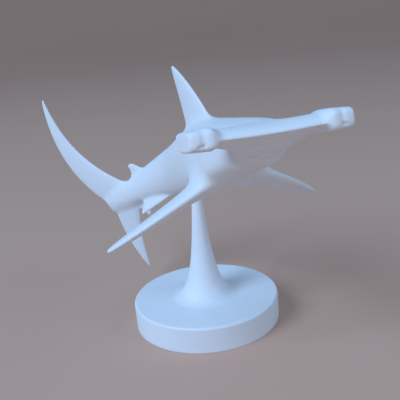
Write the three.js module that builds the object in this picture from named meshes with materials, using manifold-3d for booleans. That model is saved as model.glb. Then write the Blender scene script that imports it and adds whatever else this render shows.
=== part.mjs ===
// A statuette of a great hammerhead shark on a trumpet-shaped column and a round base, printed in
// matte white plastic. Millimetres, +Z up. The origin is the centre of the base's underside. Seen
// from -Y the shark swims towards the viewer and to the right, nose up, with its tail behind.
import * as THREE from "three";
import { mergeVertices } from "three/addons/utils/BufferGeometryUtils.js";
import Module from "manifold-3d";

const wasm = await Module();
wasm.setup();

// Driving dimensions: lengths in millimetres, angles in degrees, and places along the body as
// fractions of the shark's length from its snout.
const GAP = 0.3;
const BASE = { radius: 40, thickness: 14.2, edge: 1.2 };
const COLUMN = {
  radius: 10.6,
  taperHeight: 42,
  flare: 4.8,
  flareHeight: 6,
  toe: 3,
  toeHeight: 0.75,
  height: 75,
};

const LENGTH = 285;
const MIDDLE = { at: 0.4, x: 1, y: -9, z: 93.5, heading: 74, pitch: 23, roll: 9.5 };
const NOSE_TURN = { heading: 4.8, pitch: -18, roll: -8.1 };
const TAIL_TURN = { heading: -54, pitch: 3, roll: 0 };
const BODY_END = 0.74;

// Half the width, and the height above and depth below the spine, at places along the body.
const GIRTH = [
  { at: 0, half: 0.6, up: 0.3, down: 0.3 },
  { at: 0.02, half: 5, up: 1.2, down: 1.2 },
  { at: 0.035, half: 8, up: 2, down: 3.6 },
  { at: 0.05, half: 10.6, up: 3.2, down: 7.8 },
  { at: 0.065, half: 11.6, up: 3.9, down: 12 },
  { at: 0.08, half: 12.2, up: 4.4, down: 13.7 },
  { at: 0.13, half: 13.6, up: 5.5, down: 15.2 },
  { at: 0.19, half: 15.2, up: 7.5, down: 17.4 },
  { at: 0.26, half: 15.4, up: 11.1, down: 20.3 },
  { at: 0.33, half: 15.1, up: 13.6, down: 19.2 },
  { at: 0.41, half: 13.8, up: 14.1, down: 16.4 },
  { at: 0.5, half: 11, up: 13.6, down: 13 },
  { at: 0.58, half: 7.9, up: 12, down: 9.3 },
  { at: 0.65, half: 5.4, up: 9.3, down: 6.4 },
  { at: 0.71, half: 3.6, up: 6.8, down: 5.1 },
  { at: 0.74, half: 1.8, up: 4.4, down: 4 },
];

// How boxy the lower half of a section is, where 2 is an ellipse; how much of its width a section
// loses at the gills; and how far the ridge swells it that ends in the pectoral fin. Each is a list
// of places along the body with the value there.
const BOXINESS = [[0, 2.3], [0.08, 2.6], [0.18, 2.4], [0.24, 2.5], [0.33, 2.4], [0.5, 2], [0.74, 2]];
const WAIST = [[0, 0], [0.08, 0.05], [0.15, 0.11], [0.2, 0.08], [0.26, 0], [0.74, 0]];
const RIDGE = [[0, 0], [0.06, 0.01], [0.1, 0.04], [0.2, 0.1], [0.26, 0.05], [0.32, 0], [0.74, 0]];
const WAIST_BAND = { middle: -0.1, width: 0.36 };
const RIDGE_BAND = { middle: -0.62, width: 0.28 };
const BACK_NARROWING = 0.1;
const BODY_SIDES = 28;
const BODY_STEP = 0.0155;

// The lengths that the body is divided into, each from one place to the next.
const HEAD_END = 0.125;
const BODY_PARTS = {
  gill_section: [HEAD_END, 0.205],
  trunk_front: [0.205, 0.33],
  trunk_rear: [0.33, 0.5],
};
const STALK_START = 0.5;

// The hammer of the head: a slab across the snout with thick blocks at its ends.
const HAMMER = {
  half: 30,
  middleChord: 24,
  lobeChord: 17,
  sweep: 2,
  tilt: 6,
  lift: 0.7,
  rise: 0.9,
  lead: -0.6,
  step: 1.7,
  bevel: 1.4,
  bevelStart: 0.78,
  lobeStart: 0.64,
  lobeRamp: 0.07,
  blockiness: 4.4,
  middleWidth: 0.75,
  snoutWidth: 0.7,
  snoutShift: 0.03,
  rim: 0.6,
  middle: { up: 3.6, down: 8.4 },
  wing: { up: 3.5, down: 2.9 },
  lobe: { up: 4, down: 3.6, slope: 0.8, level: 0.82 },
  end: { start: 0.93, share: 0.8 },
};
const EYE = { radius: 2, bulge: 0.8, sunk: 0.6, back: 0.4 };
const GILLS = { count: 5, from: 0.133, to: 0.176, length: 5, width: 0.6, depth: 0.7, below: 22 };

// The fins. front and rear are where the root starts and ends on the body, span and sweep are how
// far the tip lies out from the root and behind it, and hollow is the curve of the rear edge. lean
// is the angle of a fin on the back towards the shark's left, and droop that of a fin on the side.
const FIRST_DORSAL = {
  front: 0.247,
  rear: 0.384,
  span: 36,
  sweep: 33.5,
  power: 1.15,
  bulge: 1.9,
  hollow: 0,
  tip: 0.12,
  thickness: 4.4,
  lean: 3,
};
const SECOND_DORSAL = {
  front: 0.597,
  rear: 0.665,
  span: 9.6,
  sweep: 7.5,
  power: 0.84,
  hollow: 0.2,
  tip: 0.28,
  thickness: 2.6,
  lean: 0,
};
const DORSAL_ROOT_HEIGHT = 0.75;
const PECTORAL = { front: 0.206, rear: 0.286, bulge: 1.8, hollow: 0.06, flare: 1.6 };
const PECTORAL_REACH = {
  left: { span: 43.1, sweep: 36, droop: 19.5, thickness: 6.8, power: 1.1, tip: 0.45, twist: 4.5 },
  right: { span: 52, sweep: 23.6, droop: 19.8, thickness: 7.6, power: 1.28, tip: 0.49, twist: -6 },
};
const PECTORAL_ROOT = { inset: 0.58, height: -0.84 };
const PELVIC = { front: 0.525, rear: 0.649, hollow: 0, thickness: 2.8, twist: 0 };
const PELVIC_REACH = {
  left: { span: 11.6, sweep: 36.5, droop: 99, power: 0.6, tip: 0.05 },
  right: { span: 9.9, sweep: 32, droop: 54, power: 1.07, tip: 0.08 },
};
const PELVIC_ROOT = { inset: 0.28, height: -0.8 };

// The lobes of the tail fin, at an angle to the body's line, bowed by arc and bent sideways.
const TAIL_ROOT = { at: 0.7, ahead: 0.25, along: 0.3, upper: 0.3, lower: -0.4, sweep: 0.35 };
const TAIL_UPPER = { length: 77, angle: 77.5, chord: 23, arc: 10.4, bend: -5.3, thickness: 4.2 };
const TAIL_LOWER = { length: 48.5, angle: 70, chord: 20, arc: 3, bend: 0, thickness: 4.2 };

const PLASTIC = { color: 0xe6ebf2, roughness: 0.62, metalness: 0 };

const radians = THREE.MathUtils.degToRad;
const clamp = THREE.MathUtils.clamp;
const smoothstep = THREE.MathUtils.smoothstep;
const lerp = THREE.MathUtils.lerp;
const TURN = 2 * Math.PI;

// A smooth curve through (places[i], values[i]) that never overshoots them.
function curveThrough(places, values) {
  const steps = places.slice(1).map((place, i) => place - places[i]);
  const slopes = steps.map((step, i) => (values[i + 1] - values[i]) / step);
  const tangents = values.map((_, i) => {
    if (i === 0) return slopes[0];
    if (i === slopes.length) return slopes[i - 1];
    if (slopes[i - 1] * slopes[i] <= 0) return 0;
    return (2 * slopes[i - 1] * slopes[i]) / (slopes[i - 1] + slopes[i]);
  });
  return (place) => {
    const last = steps.length - 1;
    const found = places.findIndex((next, i) => i > 0 && place < next);
    const i = found < 0 ? last : found - 1;
    const t = clamp((place - places[i]) / steps[i], 0, 1);
    const start = values[i] * (1 + 2 * t) + steps[i] * tangents[i] * t;
    const end = values[i + 1] * (3 - 2 * t) + steps[i] * tangents[i + 1] * (t - 1);
    return start * (1 - t) ** 2 + end * t ** 2;
  };
}

// The spine, walked in short steps both ways from the middle of the body. Each frame has the
// spine's point there and the forward, left and up directions of the body.
const SPINE_STEPS = 148;

function directionsAt(at) {
  const ahead = clamp((MIDDLE.at - at) / MIDDLE.at, 0, 1);
  const behind = clamp((at - MIDDLE.at) / (BODY_END - MIDDLE.at), 0, 1);
  const turned = (key) => MIDDLE[key] + NOSE_TURN[key] * ahead ** 1.5 + TAIL_TURN[key] * behind ** 1.2;
  const [heading, pitch, roll] = ["heading", "pitch", "roll"].map((key) => radians(turned(key)));
  const forward = new THREE.Vector3(
    Math.cos(heading) * Math.cos(pitch),
    -Math.sin(heading) * Math.cos(pitch),
    Math.sin(pitch),
  );
  const left = new THREE.Vector3(0, 0, 1).cross(forward).normalize();
  const up = forward.clone().cross(left);
  left.applyAxisAngle(forward, roll);
  up.applyAxisAngle(forward, roll);
  return { forward, left, up };
}

function makeSpine() {
  const frames = [];
  const point = new THREE.Vector3();
  for (let i = 0; i <= SPINE_STEPS; i++) {
    const at = (BODY_END * i) / SPINE_STEPS;
    if (i > 0) {
      const halfway = directionsAt(at - BODY_END / SPINE_STEPS / 2).forward;
      point.addScaledVector(halfway, (-LENGTH * BODY_END) / SPINE_STEPS);
    }
    frames.push({ point: point.clone(), ...directionsAt(at) });
  }
  const middle = frames[Math.round((MIDDLE.at / BODY_END) * SPINE_STEPS)].point.clone();
  const shift = new THREE.Vector3(MIDDLE.x, MIDDLE.y, MIDDLE.z).sub(middle);
  frames.forEach((frame) => frame.point.add(shift));
  return frames;
}

const spine = makeSpine();

function frameAt(at) {
  const place = clamp((at / BODY_END) * SPINE_STEPS, 0, SPINE_STEPS - 1e-6);
  const i = Math.floor(place);
  const point = spine[i].point.clone().lerp(spine[i + 1].point, place - i);
  return { point, ...directionsAt(at) };
}

const girthPlaces = GIRTH.map((row) => row.at);
const halfWidth = curveThrough(girthPlaces, GIRTH.map((row) => row.half));
const heightUp = curveThrough(girthPlaces, GIRTH.map((row) => row.up));
const depthDown = curveThrough(girthPlaces, GIRTH.map((row) => row.down));
const curveOf = (pairs) => curveThrough(pairs.map(([at]) => at), pairs.map(([, value]) => value));
const boxinessAt = curveOf(BOXINESS);
const waistAt = curveOf(WAIST);
const ridgeAt = curveOf(RIDGE);

// A point of a frame: ahead, left and up are measured along the frame's own directions.
function pointIn(frame, ahead, left, up) {
  return frame.point
    .clone()
    .addScaledVector(frame.forward, ahead)
    .addScaledVector(frame.left, left)
    .addScaledVector(frame.up, up);
}

// A closed solid of a geometry with shared vertices, turned to face out.
function solidOf(geometry) {
  const bare = new THREE.BufferGeometry();
  bare.setAttribute("position", geometry.getAttribute("position"));
  if (geometry.index) bare.setIndex(geometry.index);
  const merged = mergeVertices(bare, 1e-4);
  const vertProperties = merged.getAttribute("position").array;
  const triVerts = new Uint32Array(merged.index.array);
  const made = new wasm.Manifold(new wasm.Mesh({ numProp: 3, vertProperties, triVerts }));
  if (made.volume() > 0) return made;
  for (let i = 0; i < triVerts.length; i += 3) triVerts.subarray(i, i + 2).reverse();
  return new wasm.Manifold(new wasm.Mesh({ numProp: 3, vertProperties, triVerts }));
}

// A solid through rings of points, closed at both ends by fans to the middle of the end rings.
function loft(rings) {
  const sides = rings[0].length;
  const points = rings.flat();
  const triangles = [];
  for (let r = 0; r + 1 < rings.length; r++) {
    for (let j = 0; j < sides; j++) {
      const a = r * sides + j;
      const b = r * sides + ((j + 1) % sides);
      triangles.push(a, b, b + sides, a, b + sides, a + sides);
    }
  }
  [0, rings.length - 1].forEach((r) => {
    const centre = points.length;
    const sum = rings[r].reduce((total, p) => total.add(p), new THREE.Vector3());
    points.push(sum.divideScalar(sides));
    for (let j = 0; j < sides; j++) {
      const a = r * sides + j;
      const b = r * sides + ((j + 1) % sides);
      if (r === 0) triangles.push(centre, b, a);
      else triangles.push(centre, a, b);
    }
  });
  const geometry = new THREE.BufferGeometry().setFromPoints(points);
  geometry.setIndex(triangles);
  return solidOf(geometry);
}

function squared(value, power) {
  return Math.sign(value) * Math.abs(value) ** power;
}

// How near a value is to the middle of a band, from 1 in the middle to 0 outside.
function within(value, band) {
  return Math.exp(-(((value - band.middle) / band.width) ** 2));
}

// A point of the body's surface: the angle goes round the section from the shark's left. The body is
// grown outwards by a clearance where another piece is cut to meet it.
function bodyPoint(frame, at, angle, grow = 0) {
  const sine = Math.sin(angle);
  const square = sine < 0 ? 2 / boxinessAt(at) : 1;
  const rise = squared(sine, square);
  const narrowing = 1 - BACK_NARROWING * Math.max(rise, 0) ** 2;
  const waist = 1 - waistAt(at) * within(rise, WAIST_BAND);
  const swell = 1 + ridgeAt(at) * within(sine, RIDGE_BAND);
  const out = (halfWidth(at) + grow) * squared(Math.cos(angle), square) * narrowing * waist;
  const lift = rise * ((rise > 0 ? heightUp(at) : depthDown(at)) + grow);
  return pointIn(frame, 0, out * swell, lift * swell);
}

function bodySection(at, grow) {
  const frame = frameAt(at);
  const ring = [];
  for (let j = 0; j < BODY_SIDES; j++) ring.push(bodyPoint(frame, at, (TURN * j) / BODY_SIDES, grow));
  return ring;
}

function bodyStretch(from, to, grow = 0) {
  const count = Math.max(2, Math.round((to - from) / BODY_STEP));
  const rings = [];
  for (let i = 0; i <= count; i++) rings.push(bodySection(from + ((to - from) * i) / count, grow));
  return loft(rings);
}

const halfGap = GAP / 2 / LENGTH;
const bodyCutter = bodyStretch(0, BODY_END, GAP);

// A fin: lens-shaped sections from the root (0) to the tip (1). The leading edge sweeps back, both
// edges may bow by arc, the trailing edge is hollowed, and the root may flare.
const FIN_RINGS = 12;
const FIN_SIDES = 12;
const FIN_EDGE = { chord: 0.25, thickness: 0.35, roundness: 10 };
const FIN_THINNING = 0.6;
const FLARE_REACH = 0.2;

function finSolid({ root, chordwise, outward, chord, fin, grow = 0 }) {
  const { span, sweep, thickness, hollow } = fin;
  const { power = 1, tip = 0.14, bulge = 0, arc = 0, bend = 0, flare = 0 } = fin;
  const across = chordwise.clone().cross(outward).normalize();
  const rings = [];
  for (let i = 0; i < FIN_RINGS; i++) {
    const x = Math.sin(((i / (FIN_RINGS - 1)) * Math.PI) / 2);
    const hump = 4 * x * (1 - x);
    const back = sweep * x ** power + arc * hump;
    const lead = bulge * hump - back;
    const rear = hollow * chord * hump - chord * (1 - x) - chord * tip * x - back;
    const rounding = Math.sqrt(Math.max(0, 1 - x ** FIN_EDGE.roundness));
    const swell = flare * Math.exp(-((x / FLARE_REACH) ** 2));
    const halfChord = ((lead - rear) / 2) * lerp(FIN_EDGE.chord, 1, rounding) + swell + grow;
    const thinned = (thickness / 2) * (1 - FIN_THINNING * x);
    const halfThick = thinned * lerp(FIN_EDGE.thickness, 1, rounding) + swell / 2 + grow;
    const middle = (lead + rear) / 2;
    const out = x * span + (i === FIN_RINGS - 1 ? grow : 0);
    const ring = [];
    for (let j = 0; j < FIN_SIDES; j++) {
      const angle = (TURN * j) / FIN_SIDES;
      const point = root.clone().addScaledVector(outward, out);
      point.addScaledVector(chordwise, middle + halfChord * Math.cos(angle));
      point.addScaledVector(across, bend * x * x + halfThick * Math.sin(angle));
      ring.push(point);
    }
    rings.push(ring);
  }
  return loft(rings);
}

// A root line on the body from a fin's front to its rear, sunk a fraction of the way to the surface.
function rootLine(fin, side, height) {
  const ends = [fin.front, fin.rear].map((at) => {
    const lift = height > 0 ? heightUp(at) : depthDown(at);
    return pointIn(frameAt(at), 0, halfWidth(at) * side, lift * height);
  });
  const chordwise = ends[0].clone().sub(ends[1]);
  const chord = chordwise.length();
  return { root: ends[0], chordwise: chordwise.normalize(), chord };
}

function outwardFrom(chordwise, direction) {
  const along = direction.dot(chordwise);
  return direction.clone().addScaledVector(chordwise, -along).normalize();
}

function medianFin(fin) {
  const line = rootLine(fin, 0, DORSAL_ROOT_HEIGHT);
  const frame = frameAt((fin.front + fin.rear) / 2);
  const outward = outwardFrom(line.chordwise, frame.up.applyAxisAngle(frame.forward, -radians(fin.lean)));
  return finSolid({ ...line, outward, fin }).subtract(bodyCutter);
}

// side is 1 on the shark's left and -1 on its right.
function pairedFin(fin, side, place) {
  const line = rootLine(fin, side * place.inset, place.height);
  const frame = frameAt(fin.front);
  const droop = radians(fin.droop);
  const direction = frame.left.clone().multiplyScalar(side * Math.cos(droop));
  direction.addScaledVector(frame.up, -Math.sin(droop));
  const outward = outwardFrom(line.chordwise, direction);
  line.chordwise.applyAxisAngle(outward, -side * radians(fin.twist));
  return finSolid({ ...line, outward, fin }).subtract(bodyCutter);
}

// way is 1 for the upper lobe and -1 for the lower one.
function tailLobe(lobe, way, grow = 0) {
  const frame = frameAt(TAIL_ROOT.at);
  const angle = radians(lobe.angle);
  const outward = frame.forward.clone().multiplyScalar(-Math.cos(angle));
  outward.addScaledVector(frame.up, way * Math.sin(angle));
  const chordwise = frame.forward.clone().multiplyScalar(Math.sin(angle));
  chordwise.addScaledVector(frame.up, way * Math.cos(angle));
  const { at, ahead, along, upper, lower, sweep } = TAIL_ROOT;
  const lift = way > 0 ? heightUp(at) * upper : depthDown(at) * lower;
  const root = pointIn(frame, lobe.chord * ahead, 0, lift).addScaledVector(chordwise, lobe.chord * along);
  const fin = { ...lobe, span: lobe.length, sweep: lobe.chord * sweep, hollow: 0 };
  return finSolid({ root, chordwise, outward, chord: lobe.chord, fin, grow });
}

const HAMMER_RINGS = 41;
const HAMMER_SIDES = 24;

// One section of the hammer at a place across it, from -1 at its right end to 1 at its left. Between
// the lobes the underside slopes straight down and back to the rim of the mouth.
function hammerSection(across) {
  const { half, middleChord, lobeChord, sweep, lift, rise, lead, step, bevel, rim } = HAMMER;
  const { lobeStart, lobeRamp, middle, wing, lobe, end } = HAMMER;
  const frame = frameAt(0);
  [frame.forward, frame.up].forEach((way) => way.applyAxisAngle(frame.left, -radians(HAMMER.tilt)));
  const out = Math.abs(across);
  const inLobe = smoothstep(out, lobeStart - lobeRamp, lobeStart + lobeRamp);
  const inMiddle = smoothstep(1 - out / HAMMER.middleWidth, 0, 1);
  const inSnout = smoothstep(1 - Math.abs(across - HAMMER.snoutShift) / HAMMER.snoutWidth, 0, 1);
  const chord = lerp(lobeChord, middleChord, inMiddle);
  const lobeUp = lobe.up * (1 + lobe.slope * (lobe.level - out));
  const up = lerp(lerp(wing.up, middle.up, inMiddle ** 1.5), lobeUp, inLobe);
  const down = lerp(lerp(wing.down, middle.down, inSnout), lobe.down, inLobe);
  const front = step * inLobe - sweep * out ** 2;
  const toEnd = clamp((out - end.start) / (1 - end.start), 0, 1);
  const size = lerp(end.share, 1, Math.sqrt(1 - toEnd ** 3));
  const square = 2 / lerp(2, HAMMER.blockiness, inLobe);
  const cut = bevel * smoothstep(out, HAMMER.bevelStart, 1);
  const ring = [];
  for (let j = 0; j < HAMMER_SIDES; j++) {
    const angle = (TURN * j) / HAMMER_SIDES;
    const c = squared(Math.cos(angle), square);
    const back = (1 - c) / 2;
    const behind = clamp((back - rim) / (1 - rim), 0, 1);
    const slope = back < rim ? back / rim : Math.sqrt(1 - behind ** 2);
    const round = squared(Math.sin(angle), square);
    const s = round < 0 ? lerp(-slope, round, inLobe) : round;
    const ahead = front - chord / 2 + ((c * chord) / 2) * (0.5 + 0.5 * size);
    const droop = lead * (1 - inLobe) * Math.max(c, 0) ** 2;
    const height = lift + rise * out ** 2 + s * (s > 0 ? up : down) * size + droop;
    const lateral = across * half - (Math.sign(across) * cut * (1 + c)) / 2;
    ring.push(pointIn(frame, ahead, lateral, height));
  }
  return ring;
}

function hammerSolid() {
  const rings = [];
  for (let i = 0; i < HAMMER_RINGS; i++) {
    rings.push(hammerSection(Math.sin((i / (HAMMER_RINGS - 1) - 0.5) * Math.PI)));
  }
  return loft(rings);
}

// A flattened ball, in a frame of its own, for an eye or a gill slit.
function ball(frame, centre, radii) {
  const geometry = new THREE.SphereGeometry(1, 14, 8);
  geometry.scale(...radii);
  const turned = new THREE.Matrix4().makeBasis(frame.forward, frame.left, frame.up);
  geometry.applyMatrix4(turned.setPosition(centre));
  return solidOf(geometry);
}

function eyeSolid(side, grow = 0) {
  const frame = frameAt(0);
  const ahead = -HAMMER.sweep - HAMMER.lobeChord * EYE.back;
  const out = HAMMER.half - HAMMER.bevel / 2 - EYE.sunk;
  const centre = pointIn(frame, ahead, side * out, HAMMER.lift + HAMMER.rise);
  return ball(frame, centre, [EYE.radius + grow, EYE.bulge + grow, EYE.radius + grow]);
}

function gillSlits() {
  const cuts = [];
  const below = radians(GILLS.below);
  for (const side of [-1, 1]) {
    for (let i = 0; i < GILLS.count; i++) {
      const at = lerp(GILLS.from, GILLS.to, i / (GILLS.count - 1));
      const frame = frameAt(at);
      const centre = bodyPoint(frame, at, side > 0 ? -below : Math.PI + below);
      [frame.left, frame.up].forEach((way) => way.applyAxisAngle(frame.forward, -side * below));
      cuts.push(ball(frame, centre, [GILLS.width / 2, GILLS.depth, GILLS.length / 2]));
    }
  }
  return cuts;
}

function baseSolid() {
  const { radius, thickness, edge } = BASE;
  const profile = [new THREE.Vector2(0, 0), new THREE.Vector2(radius, 0)];
  for (let i = 0; i <= 4; i++) {
    const angle = (Math.PI / 2) * (i / 4);
    const out = radius - edge + edge * Math.cos(angle);
    profile.push(new THREE.Vector2(out, thickness - edge + edge * Math.sin(angle)));
  }
  profile.push(new THREE.Vector2(0, thickness));
  return solidOf(new THREE.LatheGeometry(profile, 72).rotateX(Math.PI / 2));
}

function columnSolid() {
  const { radius, taperHeight, flare, flareHeight, toe, toeHeight, height } = COLUMN;
  const profile = [new THREE.Vector2(0, 0)];
  const count = 14;
  for (let i = 0; i <= count; i++) {
    const up = height * (i / count) ** 1.8;
    const spread = flare * Math.exp(-up / flareHeight) + toe * Math.exp(-up / toeHeight);
    profile.push(new THREE.Vector2(radius * Math.exp(-up / taperHeight) + spread, up));
  }
  profile.push(new THREE.Vector2(0, height));
  const lathe = new THREE.LatheGeometry(profile, 40).rotateX(Math.PI / 2);
  lathe.translate(0, 0, BASE.thickness + GAP);
  return solidOf(lathe).subtract(bodyCutter);
}

// The largest closed piece of a solid, so that a cut leaves one body and no scraps.
function largest(solid) {
  const pieces = solid.decompose();
  return pieces.reduce((best, piece) => (piece.volume() > best.volume() ? piece : best));
}

const shark = new THREE.Group();

function add(name, solid) {
  const { vertProperties, triVerts } = largest(solid).getMesh();
  const geometry = new THREE.BufferGeometry();
  geometry.setAttribute("position", new THREE.Float32BufferAttribute(vertProperties, 3));
  geometry.setIndex(new THREE.Uint32BufferAttribute(triVerts, 1));
  geometry.computeVertexNormals();
  const mesh = new THREE.Mesh(geometry, new THREE.MeshStandardMaterial(PLASTIC));
  mesh.name = name;
  shark.add(mesh);
}

function addHead() {
  const whole = hammerSolid().add(bodyStretch(0, HEAD_END - halfGap));
  const sockets = [-1, 1].map((side) => eyeSolid(side, GAP));
  add("head", sockets.reduce((solid, socket) => solid.subtract(socket), whole));
  add("eye_left", eyeSolid(1));
  add("eye_right", eyeSolid(-1));
}

function addBody() {
  for (const [name, [from, to]] of Object.entries(BODY_PARTS)) {
    const stretch = bodyStretch(from + halfGap, to - halfGap);
    const cuts = name === "gill_section" ? gillSlits() : [];
    add(name, cuts.reduce((solid, cut) => solid.subtract(cut), stretch));
  }
  add("tail_stalk", bodyStretch(STALK_START + halfGap, BODY_END));
}

function addFins() {
  add("dorsal_fin_first", medianFin(FIRST_DORSAL));
  add("dorsal_fin_second", medianFin(SECOND_DORSAL));
  for (const [word, side] of [["left", 1], ["right", -1]]) {
    const pectoral = { ...PECTORAL, ...PECTORAL_REACH[word] };
    const pelvic = { ...PELVIC, ...PELVIC_REACH[word] };
    add(`pectoral_fin_${word}`, pairedFin(pectoral, side, PECTORAL_ROOT));
    add(`pelvic_fin_${word}`, pairedFin(pelvic, side, PELVIC_ROOT));
  }
  const upper = tailLobe(TAIL_UPPER, 1);
  const clearance = tailLobe(TAIL_UPPER, 1, GAP);
  add("tail_fin_upper", upper.subtract(bodyCutter));
  add("tail_fin_lower", tailLobe(TAIL_LOWER, -1).subtract(bodyCutter).subtract(clearance));
}

addHead();
addBody();
addFins();
add("stand_column", columnSolid());
add("stand_base", baseSolid());

export default shark;
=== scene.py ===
# The looks of a printed statuette of a great hammerhead shark: one smooth skin over the whole
# shark, its eyes, the turned stand and the marks that the print's supports left. Shapes are worked
# out in millimetres along the shark's body line and turned to metres when a mesh is made.
import math

import bpy
import numpy as np
import openvdb
from mathutils import Matrix, Vector
from mathutils.bvhtree import BVHTree


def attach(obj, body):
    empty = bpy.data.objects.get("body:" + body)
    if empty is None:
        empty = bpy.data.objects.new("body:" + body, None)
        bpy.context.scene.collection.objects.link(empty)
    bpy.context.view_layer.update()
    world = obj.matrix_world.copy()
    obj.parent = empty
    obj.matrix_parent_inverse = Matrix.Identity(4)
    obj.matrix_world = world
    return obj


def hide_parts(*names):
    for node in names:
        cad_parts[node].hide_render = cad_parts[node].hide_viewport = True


bl_info = {
    "name": "Hammerhead Shark Statuette",
    "version": (1, 0, 0),
    "blender": (4, 5, 0),
    "location": "3D View > Sidebar > Statuette",
    "description": "Makes the skin, eyes, stand, print marks and stage of a hammerhead statuette",
    "category": "Object",
}

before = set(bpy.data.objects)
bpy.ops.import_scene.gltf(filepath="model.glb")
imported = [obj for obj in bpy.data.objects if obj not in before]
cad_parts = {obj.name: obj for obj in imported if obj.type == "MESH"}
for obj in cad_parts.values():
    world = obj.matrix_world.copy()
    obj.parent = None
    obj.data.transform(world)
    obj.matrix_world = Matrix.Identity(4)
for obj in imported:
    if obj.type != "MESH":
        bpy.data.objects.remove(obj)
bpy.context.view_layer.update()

MM = 0.001
TURN = 2 * math.pi
SIDES = {"left": 1, "right": -1}

# Places along the body as fractions of the shark's length from its snout, with half the width,
# the height above the body line and the depth below it.
GIRTH = (
    (0, 0.6, 0.3, 0.3),
    (0.02, 5, 1.2, 1.2),
    (0.035, 8, 2, 3.6),
    (0.05, 10.6, 3.2, 7.8),
    (0.065, 11.6, 3.9, 12),
    (0.08, 12.2, 4.4, 13.7),
    (0.13, 13.6, 5.5, 15.2),
    (0.19, 15.2, 7.5, 17.4),
    (0.26, 15.4, 11.1, 20.3),
    (0.33, 15.1, 13.6, 19.2),
    (0.41, 13.8, 14.1, 16.4),
    (0.5, 11, 13.6, 13),
    (0.58, 7.9, 12, 9.3),
    (0.65, 5.4, 9.3, 6.4),
    (0.71, 3.6, 6.8, 5.1),
    (0.74, 1.8, 4.4, 4),
)
# How boxy the lower half of a section is: 2 is an ellipse.
BOXY = ((0, 2.3), (0.08, 2.6), (0.18, 2.4), (0.24, 2.5), (0.33, 2.4), (0.5, 2), (0.74, 2))
# How much of its width a section loses at the gills, above the ridge that ends in the pectoral fin,
# and how much it swells at that ridge.
WAIST = ((0, 0), (0.08, 0.05), (0.15, 0.11), (0.2, 0.08), (0.26, 0), (0.74, 0))
RIDGE = ((0, 0), (0.06, 0.01), (0.1, 0.04), (0.2, 0.1), (0.26, 0.05), (0.32, 0), (0.74, 0))
# Where both lie on a section's height, of which 1 is the top, and how wide their bands are.
WAIST_BAND = (-0.1, 0.36)
RIDGE_BAND = (-0.62, 0.28)
# How much narrower a section is at its top.
CROWN = 0.1

# Places along the body, and how gently the line bends from its middle to the snout and the tail.
BODY_START = 0.03
MIDDLE = 0.4
TAIL_ROOT = 0.7
BODY_END = 0.74
NOSE_EASE = 1.5
TAIL_EASE = 1.2

# Where the roots of the paired fins lie, as shares of the body's half width and depth.
PECTORAL_ROOT = (0.58, -0.84)
PELVIC_ROOT = (0.28, -0.8)
DORSAL_ROOT_HEIGHT = 0.75
# Where the tail's lobes start: their heights as shares of the stalk's, and the rest as shares of a
# lobe's chord.
LOBE_ROOT_UP = 0.3
LOBE_ROOT_DOWN = -0.4
LOBE_ROOT_AHEAD = 0.25
LOBE_ROOT_ALONG = 0.3
LOBE_SWEEP = 0.35

# How wide the soft joint is between each form and what it grows from, in millimetres.
HEAD_JOINT = 2.2
PECTORAL_JOINT = 7
DORSAL_JOINT = 4.5
SMALL_FIN_JOINT = 2
TAIL_JOINT = 3.6
# How many cells to each side of a surface know how far it is.
BAND = 17

# The gill slits of one side: places along the body, degrees down the flank, and lean of each slit.
GILL_COUNT = 5
GILLS_ALONG = (0.132, 0.176)
GILLS_DOWN = (-15, -29)
GILL_LEAN = 0.004

# The mouth, in millimetres from the hammer's middle: its ends, its middle, how far back, its bow.
MOUTH_ENDS = (-5, 9)
MOUTH_MIDDLE = 1.5
MOUTH_BACK = -12.9
MOUTH_BOW = -0.05

# A nostril's ends, as shares of the hammer's half width, and its heights in millimetres.
NOSTRIL_ENDS = (0.8, 0.85)
NOSTRIL_HEIGHTS = (-0.3, -0.8)

# How far off the hammer the rays start that look for the skin, in millimetres.
AHEAD = 20.0
ABOVE = 40.0
BESIDE = 50

# How far behind a lobe's front the eye is, as a share of its chord, and how many millimetres its
# dome is set in.
EYE_BACK = 0.4
EYE_SUNK = 0.05

# Creases of the print over (1) and under (-1) the hammer: how far ahead and left each bend is, and
# the seed, the step and the reach of their wander, all in millimetres.
CREASES = (
    (1, ((-2.6, -25.6), (-0.8, -22.8), (-2.1, -19), (-5.8, -16), (-7.5, -12.5), (-13, -9))),
    (1, ((-12, -9.5), (-15.5, -7.2), (-16.4, -5), (-17.5, -3.4), (-16.5, -1.6), (-18, 0.4))),
    (-1, ((-3.4, -6.6), (-2.2, -4.1), (-1.2, -0.6), (-1.9, 4.3))),
    (-1, ((-11.1, -14.7), (-8.5, -11.5), (-6.5, -7.8), (-4.1, -1.5), (-3.2, 4.5))),
    (-1, ((-9, -8), (-7.4, -3), (-6.4, 2), (-6.8, 9))),
    (-1, ((-5.5, 6), (-4.6, 10), (-4.9, 15))),
)
CREASE_SEED = 11
CREASE_STEP = 0.4
CREASE_WANDER = 0.4

# Rows of marks that supports left: the first and the last one (ahead, left and up of the hammer's
# middle) and their number. Then the seed, the least and the most scale of a mark.
MARKS = (
    ((-66, 8.5, -18.5), (-78.5, 31.2, -26.9), 10),
    ((-47.7, -8.7, -15.8), (-64.6, 5.2, -20), 7),
)
MARK_SEED = 7
MARK_LEAST = (0.4, 0.4, 0.3)
MARK_MOST = (1.1, 1.0, 0.6)

# The plastic: how far layers and terraces wander and the grain stands out, in metres, how much of a
# layer shows on a wall, where terraces show, how the cloudy tint varies, how much painted shade
# darkens the grooves between layers, how roughness varies, and the gloss.
LAYER_WANDER = 0.0006
TERRACE_WANDER = 0.0011
GRAIN_RELIEF = 0.000006
LAYER_ON_WALL = 0.25
PATCH_SLOPE = 6
PATCH_START = 2.8
CLOUD_TINT = 0.25
# The share by which painted shade darkens the plastic in the grooves between printed layers.
LAYER_GROOVE_SHADE = 0.12
ROUGHNESS = 0.54
CLOUD_ROUGHNESS = 0.12
GLOSS = 0.42

# How much closer the column's rings lie near its foot.
FOOT_CROWDING = 2.4

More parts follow.
